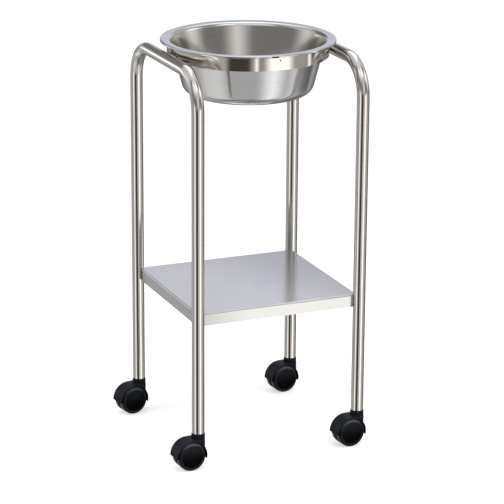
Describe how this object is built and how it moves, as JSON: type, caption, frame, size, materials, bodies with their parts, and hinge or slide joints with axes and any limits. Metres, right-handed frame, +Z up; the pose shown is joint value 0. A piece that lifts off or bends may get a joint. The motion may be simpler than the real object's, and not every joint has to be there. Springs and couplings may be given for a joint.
{
  "type": "wash basin stand",
  "caption": "Wheeled stainless tube stand with a band hoop that holds a round lift-out wash basin, a folded lower shelf and twin-wheel swivel casters.",
  "frame": {"origin": "on the floor, under the middle of the overall outline with the casters as they stand at rest", "axes": "+X to the right and +Y to the rear of someone who faces the stand, +Z up"},
  "size_m": [0.4202, 0.3846, 0.8283],
  "materials": {
    "tube_steel": "brushed stainless steel, satin along the tube",
    "hoop_steel": "polished stainless steel",
    "weld_steel": "dressed weld",
    "basin_steel": "satin stainless steel",
    "shelf_steel": "satin stainless sheet",
    "socket_plastic": "black nylon",
    "plated_steel": "zinc-plated steel",
    "housing_plastic": "black moulded nylon",
    "wheel_plastic": "black moulded nylon",
    "cover_plastic": "black moulded nylon, fine grain"
  },
  "bodies": {
    "frame": {"left_frame_tube": "tube_steel", "right_frame_tube": "tube_steel", "basin_hoop": "hoop_steel", "hoop_welds": "weld_steel", "shelf": "shelf_steel", "shelf_welds": "weld_steel", "front_left_tube_socket": "socket_plastic", "front_left_caster_stem": "plated_steel", "front_left_stem_grip_ring": "plated_steel", "front_right_tube_socket": "socket_plastic", "front_right_caster_stem": "plated_steel", "front_right_stem_grip_ring": "plated_steel", "rear_left_tube_socket": "socket_plastic", "rear_left_caster_stem": "plated_steel", "rear_left_stem_grip_ring": "plated_steel", "rear_right_tube_socket": "socket_plastic", "rear_right_caster_stem": "plated_steel", "rear_right_stem_grip_ring": "plated_steel"},
    "basin": {"basin": "basin_steel"},
    "front_left_caster": {"front_left_caster_housing": "housing_plastic", "front_left_wheel_axle": "plated_steel", "front_left_axle_rings": "plated_steel"},
    "front_left_front_wheel": {"front_left_front_wheel": "wheel_plastic", "front_left_front_wheel_cover": "cover_plastic"},
    "front_left_rear_wheel": {"front_left_rear_wheel": "wheel_plastic", "front_left_rear_wheel_cover": "cover_plastic"},
    "front_right_caster": {"front_right_caster_housing": "housing_plastic", "front_right_wheel_axle": "plated_steel", "front_right_axle_rings": "plated_steel"},
    "front_right_front_wheel": {"front_right_front_wheel": "wheel_plastic", "front_right_front_wheel_cover": "cover_plastic"},
    "front_right_rear_wheel": {"front_right_rear_wheel": "wheel_plastic", "front_right_rear_wheel_cover": "cover_plastic"},
    "rear_left_caster": {"rear_left_caster_housing": "housing_plastic", "rear_left_wheel_axle": "plated_steel", "rear_left_axle_rings": "plated_steel"},
    "rear_left_front_wheel": {"rear_left_front_wheel": "wheel_plastic", "rear_left_front_wheel_cover": "cover_plastic"},
    "rear_left_rear_wheel": {"rear_left_rear_wheel": "wheel_plastic", "rear_left_rear_wheel_cover": "cover_plastic"},
    "rear_right_caster": {"rear_right_caster_housing": "housing_plastic", "rear_right_wheel_axle": "plated_steel", "rear_right_axle_rings": "plated_steel"},
    "rear_right_front_wheel": {"rear_right_front_wheel": "wheel_plastic", "rear_right_front_wheel_cover": "cover_plastic"},
    "rear_right_rear_wheel": {"rear_right_rear_wheel": "wheel_plastic", "rear_right_rear_wheel_cover": "cover_plastic"}
  },
  "joints": [
    {"name": "basin_lift_out", "type": "slide", "parent": "frame", "child": "basin", "axis": [0, 0, 1], "range_m": [0, 0.15]},
    {"name": "front_left_swivel", "type": "hinge", "parent": "frame", "child": "front_left_caster", "pos_m": [-0.1543, -0.16959, 0.0735], "axis": [0, 0, 1], "continuous": true},
    {"name": "front_left_front_wheel_spin", "type": "hinge", "parent": "front_left_caster", "child": "front_left_front_wheel", "pos_m": [-0.17475, -0.17102, 0.0295], "axis": [-0.0698, 0.9976, 0], "continuous": true},
    {"name": "front_left_rear_wheel_spin", "type": "hinge", "parent": "front_left_caster", "child": "front_left_rear_wheel", "pos_m": [-0.17475, -0.17102, 0.0295], "axis": [-0.0698, 0.9976, 0], "continuous": true},
    {"name": "front_right_swivel", "type": "hinge", "parent": "frame", "child": "front_right_caster", "pos_m": [0.1957, -0.16959, 0.0735], "axis": [0, 0, 1], "continuous": true},
    {"name": "front_right_front_wheel_spin", "type": "hinge", "parent": "front_right_caster", "child": "front_right_front_wheel", "pos_m": [0.17528, -0.17138, 0.0295], "axis": [-0.0872, 0.9962, 0], "continuous": true},
    {"name": "front_right_rear_wheel_spin", "type": "hinge", "parent": "front_right_caster", "child": "front_right_rear_wheel", "pos_m": [0.17528, -0.17138, 0.0295], "axis": [-0.0872, 0.9962, 0], "continuous": true},
    {"name": "rear_left_swivel", "type": "hinge", "parent": "frame", "child": "rear_left_caster", "pos_m": [-0.1543, 0.17241, 0.0735], "axis": [0, 0, 1], "continuous": true},
    {"name": "rear_left_front_wheel_spin", "type": "hinge", "parent": "rear_left_caster", "child": "rear_left_front_wheel", "pos_m": [-0.17449, 0.16885, 0.0295], "axis": [-0.1736, 0.9848, 0], "continuous": true},
    {"name": "rear_left_rear_wheel_spin", "type": "hinge", "parent": "rear_left_caster", "child": "rear_left_rear_wheel", "pos_m": [-0.17449, 0.16885, 0.0295], "axis": [-0.1736, 0.9848, 0], "continuous": true},
    {"name": "rear_right_swivel", "type": "hinge", "parent": "frame", "child": "rear_right_caster", "pos_m": [0.1957, 0.17241, 0.0735], "axis": [0, 0, 1], "continuous": true},
    {"name": "rear_right_front_wheel_spin", "type": "hinge", "parent": "rear_right_caster", "child": "rear_right_front_wheel", "pos_m": [0.17531, 0.17027, 0.0295], "axis": [-0.1045, 0.9945, 0], "continuous": true},
    {"name": "rear_right_rear_wheel_spin", "type": "hinge", "parent": "rear_right_caster", "child": "rear_right_rear_wheel", "pos_m": [0.17531, 0.17027, 0.0295], "axis": [-0.1045, 0.9945, 0], "continuous": true}
  ]
}
